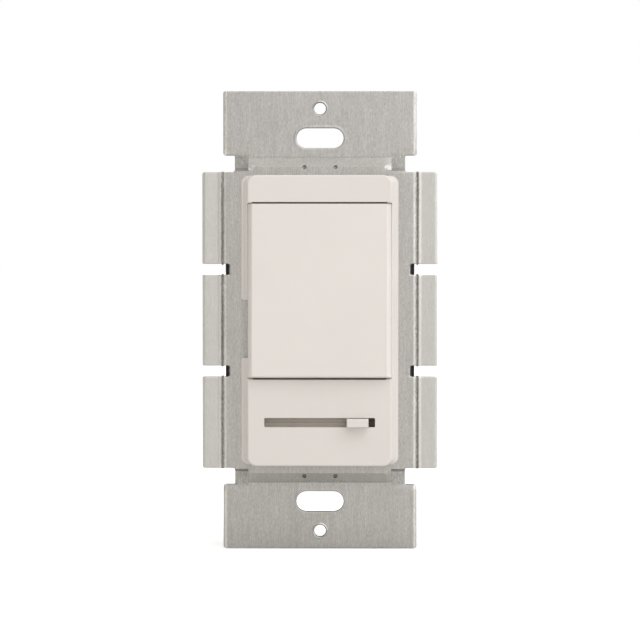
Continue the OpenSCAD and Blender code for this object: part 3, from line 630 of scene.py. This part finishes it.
def roll_at(x, z):
    """How far the sheet thins at its rolled left and right edges, from 0 to 1 of the roll's radius."""
    edge = PLATE_HALF_W if abs(z) < PLATE_HALF_H + 0.3 else EAR_HALF if abs(z) > EAR_IN - 0.1 else 1e9
    d = edge - abs(x)
    inside = GAP_HALF + 0.2 - abs(abs(z) - GAP_Z)
    if 0 <= GAP_END_X - abs(x) < GAP_ROLL and inside > 0:
        return 0.8 * (1 - (GAP_END_X - abs(x)) / GAP_ROLL) * smooth_step(inside / 0.5)
    if d >= ROLL:
        return 0.0
    q = 1 - max(d, 0.0) / ROLL
    return 0.30 * q + 0.70 * (1 - math.sqrt(max(0.0, 1 - q * q)))


painted_shade = strap.verts.layers.float.new("painted_shade")
for v in strap.verts:
    x, y, z = v.co / MM
    rim = (STRAP_T / 2 - abs(y)) / RIM
    roll = roll_at(x, z)
    # Painted shade on the cut edges, fading out where the edges are rolled
    v[painted_shade] = max(0.0, min(1.0, 1.6 * rim)) * (1 - min(1.0, 4 * roll))
    y *= 1 - 0.88 * roll * ROLL / (STRAP_T / 2)
    dy = -lift_at(x, z)
    if y < -STRAP_T / 2 + 0.3:
        sink, dark = groove_at(x, z)
        hole = pit_at(x, z)
        dy += sink + hole
        # Painted shade on the front face: a line along the ramp's crease, the neck's end patches beside the
        # ramp, and the pits
        crease = 0.35 * math.exp(-((abs(z) - RAMP_OUT) / 0.12) ** 2) * (abs(x) < NECK_HALF)
        on_neck = RAMP_HALF_W < abs(x) < NECK_HALF + 0.1 and abs(z) > 34.2
        patch = 0.30 * on_neck * smooth_step(38.4 - abs(z))
        v[painted_shade] = max(v[painted_shade], dark, 1.6 * hole, crease, patch)
    dy -= FIN_TILT * max(0.0, abs(x) - FIN_START) * (abs(z) < PLATE_HALF_H + 0.3)
    v.co.y = (y - STRAP_T / 2 + dy) * MM
piece(strap, "strap_sheet", "chassis", aluminium, ["mounting_strap"], smooth=36)

# ---------------------------------------------------------------- front frame

# Half width, half height, corner radius and y, from the strap out to the face
FRAME_PROFILE = [
    (17.95, 33.0, 1.9, -3.5), (17.95, 33.0, 1.9, -4.02), (17.90, 32.97, 1.87, -4.10),
    (17.60, 32.97, 1.8, -4.12), (17.52, 32.97, 1.8, -4.20), (16.60, 33.0, 2.0, -5.86),
    (16.48, 33.05, 2.05, -6.0), (16.42, 33.1, 2.05, -6.2), (16.4, 33.1, 2.05, -7.62),
    (16.36, 33.07, 2.02, -7.8), (16.27, 32.98, 1.96, -7.93), (16.05, 32.76, 1.8, -8.0),
]
BAY_BOTTOM, BAY_TOP, BAY_HALF_W = -13.4, 26.95, 16.42
BAY_FLOOR, CHEEK_TOP = -4.5, -5.85
FRONT, BEHIND = -9, -3  # y of cuts that pass through the whole frame
LUG_R, LUG_BACK = 1.9, -3.6
NICK_TOP, NICK_BOTTOM, NICK_X, NICK_R = 5.15, -9.05, -16.2, 0.5


def rings(profile, steps, cx=0.0, cz=0.0):
    """The loops of a loft from rows of half width, half height, corner radius and y."""
    return [[(x, y, z) for x, z in rect(2 * half_w, 2 * half_h, r, cx, cz, steps)]
            for half_w, half_h, r, y in profile]


cutters = [
    box((-20, FRONT, BAY_BOTTOM), (20, CHEEK_TOP, BAY_TOP)),
    box((-BAY_HALF_W, FRONT, BAY_BOTTOM), (BAY_HALF_W, BAY_FLOOR, BAY_TOP)),
    # Clearance for the paddle's skirt in the bay's ledge
    *[prism(rect(1.6, 40.35, 0, sx * 15.62, 6.775), -5, BEHIND) for sx in (1, -1)],
    *[prism(rect(2 * BAY_HALF_W, 1.6, 0, 0, z), -5, BEHIND) for z in (-12.6, 26.15)],
    box((-11.3, FRONT, -11.4), (11.3, BEHIND, 25.0)),
    prism(rect(SLOT_L, SLOT_H, 0.25, 0, SLOT_Z), FRONT, BEHIND),
    box((-14.4, SEAL_FRONT, SLOT_Z - 3.2), (14.4, BEHIND, SLOT_Z + 3.2)),
    # The nick in the left-hand edge
    prism([(-30, NICK_TOP), *arc(-17.45, NICK_TOP, NICK_R, 180, 270, 5), (NICK_X, NICK_TOP - NICK_R),
           (NICK_X, NICK_BOTTOM + NICK_R), *arc(-17.45, NICK_BOTTOM, NICK_R, 90, 180, 5), (-30, NICK_BOTTOM)],
          FRONT, BEHIND),
]
body = boolean(loft(rings(FRAME_PROFILE, 10)), cutters)
soften(body, 0.14, lambda m: not (abs(abs(m.x) - BAY_HALF_W) < 0.02 and m.y > -6))
# Pivot lugs behind the paddle
lugs = []
for sx in (1, -1):
    x0, x1 = sorted((sx * 11.5, sx * 13.2))
    lugs.append(rod_x(LUG_R, x0, x1, PIVOT_Y, PIVOT_Z, fillet=0.15))
    lugs.append(box((x0, PIVOT_Y, PIVOT_Z - LUG_R), (x1, LUG_BACK, PIVOT_Z + LUG_R)))
# Fills in the bay's corners, where the dark lines above and below the paddle end
for sx in (1, -1):
    x0, x1 = sorted((sx * 15.45, sx * 16.5))
    lugs.append(box((x0, -7.7, 26.73), (x1, LUG_BACK, 27.0)))
    x0, x1 = sorted((sx * 15.15, sx * 16.5))
    lugs.append(box((x0, -7.75, -13.45), (x1, LUG_BACK, -13.19)))
piece(join(body, *lugs), "bezel_frame", "chassis", ivory_frame, ["front_frame"])

# ---------------------------------------------------------------- slot seal: felt flaps round the lever

SEAL_HALF_L, SEAL_HALF_H, LIP_STEPS = 14, 2.5, 52
flaps = []
for sz in (1, -1):
    edge = []
    for i in range(LIP_STEPS + 1):
        x = -SEAL_HALF_L + 2 * SEAL_HALF_L * i / LIP_STEPS
        lip = 0.03 + 0.03 * noise.noise(Vector((x * 1.6, sz * 3.0, 0)))
        edge.append((x, SLOT_Z + sz * lip))
    far = SLOT_Z + sz * SEAL_HALF_H
    flaps.append(prism(edge + [(SEAL_HALF_L, far), (-SEAL_HALF_L, far)], SEAL_FRONT, SEAL_BACK))
piece(join(*flaps), "slot_seal", "chassis", felt, ["dust_seal"])

# ---------------------------------------------------------------- rocker paddle

# Drawn about the hinge line, then tilted to its rest position
HINGE = Vector((0, PIVOT_Y, PIVOT_Z)) * MM
TILT = Matrix.Translation(HINGE) @ Matrix.Rotation(math.radians(-3), 4, "X")
# Half width, half height, corner radius and y, from the skirt's edge out to the face
PADDLE_PROFILE = [
    (16.405, 19.86, 0.25, 0.7), (16.40, 19.9, 0.25, -0.5), (16.34, 19.86, 0.25, -1.6),
    (16.04, 19.78, 0.25, -2.5), (15.53, 19.69, 0.25, -3.32), (15.45, 19.655, 0.25, -3.48),
    (15.35, 19.58, 0.25, -3.565), (15.20, 19.46, 0.25, -3.6),
]
PADDLE_HOLLOW = [(15.1, 18.6, 0.4, 1.5), (15.1, 18.6, 0.4, -0.5), (13.9, 18.3, 0.4, -2.2)]
STEM_HALF, STEM_BORE_R, INSIDE_Y = 3.6, 1.6, -3.0

shell = boolean(loft(rings(PADDLE_PROFILE, 4)), [loft(rings(PADDLE_HOLLOW, 4))])
parts = [shell, box((-STEM_HALF, INSIDE_Y, -STEM_HALF), (STEM_HALF, 9, STEM_HALF))]
for sx in (1, -1):
    x0, x1 = sorted((sx * 9.4, sx * 10.9))
    parts += [rod_x(1.6, x0, x1, 0, 0, fillet=0.15), box((x0, INSIDE_Y, -1.6), (x1, 0, 1.6))]
    x0, x1 = sorted((sx * 10.4, sx * 13.4))
    parts.append(rod_x(1.1, x0, x1, 0, 0, fillet=0.1))
for dz in (-12, 12):
    parts.append(box((-13.6, INSIDE_Y, dz - 0.5), (13.6, -1.1, dz + 0.5)))
parts[1] = boolean(parts[1], [prism(disc(STEM_BORE_R, steps=32), -1, 10)])
paddle = join(*parts)
bmesh.ops.transform(paddle, matrix=TILT, verts=paddle.verts)
piece(paddle, "paddle_shell", "rocker", ivory_paddle, ["rocker_paddle"])

# ---------------------------------------------------------------- slider knob

KNOB_PROFILE = [(2.475, 0.93, 0.15, -6.3), (2.475, 0.93, 0.2, -10.45), (2.45, 0.91, 0.22, -10.62),
                (2.39, 0.85, 0.22, -10.74), (2.275, 0.73, 0.2, -10.8)]
LEVER_HALF_W, LEVER_HALF_T, LEVER_TIP = 1.5, 0.6, -9.5
knob = boolean(loft(rings(KNOB_PROFILE, 5, KNOB_X, SLOT_Z)),
               [box((KNOB_X - LEVER_HALF_W, LEVER_TIP, SLOT_Z - LEVER_HALF_T),
                    (KNOB_X + LEVER_HALF_W, 0, SLOT_Z + LEVER_HALF_T))])
piece(knob, "knob_cap", "slider", ivory_knob, ["slider_knob"])

# ---------------------------------------------------------------- CAD nodes that stay, with their finish

NODE_FINISH = {
    "insulating_sheet": paper, "rear_housing": black_plastic, "housing_screws": plated,
    "circuit_board": board_mat, "switch_base": phenolic, "pivot_terminal": brass,
    "lower_fixed_contact": brass, "upper_fixed_contact": brass, "potentiometer_shell": plated,
    "resistor_board": phenolic, "carbon_track": carbon, "collector_strip": silver, "triac_tab": tinned,
    "triac_body": triac_black, "triac_leads": tinned, "triac_insulator": mica, "triac_rivet": plated,
    "choke_core": core_yellow, "choke_winding": copper_wire, "filter_capacitor": blue_plastic,
    "timing_capacitor": red_plastic, "resistors": ceramic, "diac": glass, "line_terminal": brass,
    "load_terminal": brass, "traveller_terminal": brass, "terminal_clamps": brass,
    "terminal_screws": brass_screw, "ground_clamp": brass, "ground_screw": green_steel,
    "plunger": white_acetal, "plunger_spring": spring_wire, "contact_arm": contact_copper,
    "moving_contacts": silver, "slider_lever": plated, "wiper_carriage": white_acetal,
    "wiper_contacts": contact_copper,
}
BEVEL_SHARE, BEVEL_LEAST, BEVEL_MOST = 0.05, 0.03, 0.35
for name, mat in NODE_FINISH.items():
    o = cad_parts[name]
    low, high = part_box(name)
    weld = o.modifiers.new("weld", "WELD")
    weld.merge_threshold = 1e-6
    flat = o.modifiers.new("flat", "DECIMATE")
    flat.decimate_type, flat.angle_limit = "DISSOLVE", math.radians(1)
    round_edges = o.modifiers.new("edges", "BEVEL")
    round_edges.width = max(BEVEL_LEAST * MM, min(BEVEL_MOST * MM, BEVEL_SHARE * min(high - low)))
    round_edges.segments, round_edges.limit_method, round_edges.angle_limit = 2, "ANGLE", SHARP
    round_edges.harden_normals = False
    o.data.materials.clear()
    o.data.materials.append(mat)

# ---------------------------------------------------------------- floor, world and lights

# The floor and the backdrop are white to the camera; every other ray sees a duller floor and a grey studio
FLOOR_HALF, FLOOR_GAP = 6, 0.0002
FLOOR_COLOUR = (0.74, 0.735, 0.72)
WHITE = (1.0, 1.0, 1.0)
bm = bmesh.new()
bmesh.ops.create_grid(bm, x_segments=1, y_segments=1, size=FLOOR_HALF)
floor = as_object(bm, "floor")
floor.location.z = cad_box[0].z - FLOOR_GAP
floor_mat, n, s = material("pale_floor", 0.0, 0.9)
path = n.add("ShaderNodeLightPath")
n.link(n.mix(path.outputs["Is Camera Ray"], FLOOR_COLOUR, WHITE), s.inputs["Base Color"])
s.inputs["Specular IOR Level"].default_value = 0.0
s.inputs["Emission Color"].default_value = (1, 1, 1, 1)
n.link(n.math("MULTIPLY", path.outputs["Is Camera Ray"], 0.35), s.inputs["Emission Strength"])
floor.data.materials.append(floor_mat)

world = bpy.data.worlds.new("studio")
world.use_nodes = True
scene.world = world
n = Nodes(world.node_tree)
sky = world.node_tree.nodes["Background"]
axes = n.add("ShaderNodeSeparateXYZ")
n.link(n.coords(kind="Generated"), axes.inputs[0])
dx, dy, dz = axes.outputs
# Seen from the object: a dim room in front, darker below the eye line, and bright walls at the sides
# and behind, brighter and less warm on the right
FRONT_LOW, FRONT_HIGH = 0.294, 0.455
WALL_LEFT, WALL_RIGHT, CEILING = 0.70, 1.72, 0.86
front = n.span(dz, FRONT_LOW, FRONT_HIGH, -0.14, 0.14)
side = n.span(dy, 0.0, 1.0, -0.85, -0.15)
flank = n.span(dx, WALL_LEFT, WALL_RIGHT, -0.25, 0.25)
wall = n.math("ADD", n.math("MULTIPLY", n.math("SUBTRACT", 1.0, side), front),
              n.math("MULTIPLY", side, flank))
above = n.span(dz, 0.0, 1.0, 0.45, 0.9)
tone = n.math("ADD", n.math("MULTIPLY", n.math("SUBTRACT", 1.0, above), wall),
              n.math("MULTIPLY", above, CEILING))
camera_ray = n.add("ShaderNodeLightPath").outputs["Is Camera Ray"]
strength = n.math("ADD", camera_ray, n.math("MULTIPLY", n.math("SUBTRACT", 1.0, camera_ray), tone))
n.link(strength, sky.inputs["Strength"])
warm = n.ramp(n.span(dx, 0.0, 1.0, -0.5, 0.3), [(0.0, (1.0, 0.965, 0.885)), (1.0, WHITE)])
n.link(n.mix(camera_ray, warm, WHITE), sky.inputs["Color"])

KEY_PLACE, KEY_SIDE, KEY_POWER = Vector((0.316, -0.678, 0.585)), 1.1, 4.1
key = bpy.data.objects.new("key", bpy.data.lights.new("key", "AREA"))
key.data.shape, key.data.size, key.data.size_y = "RECTANGLE", KEY_SIDE, KEY_SIDE
key.data.energy = KEY_POWER
key.location = KEY_PLACE
key.rotation_euler = (-KEY_PLACE).to_track_quat("-Z", "Y").to_euler()
scene.collection.objects.link(key)
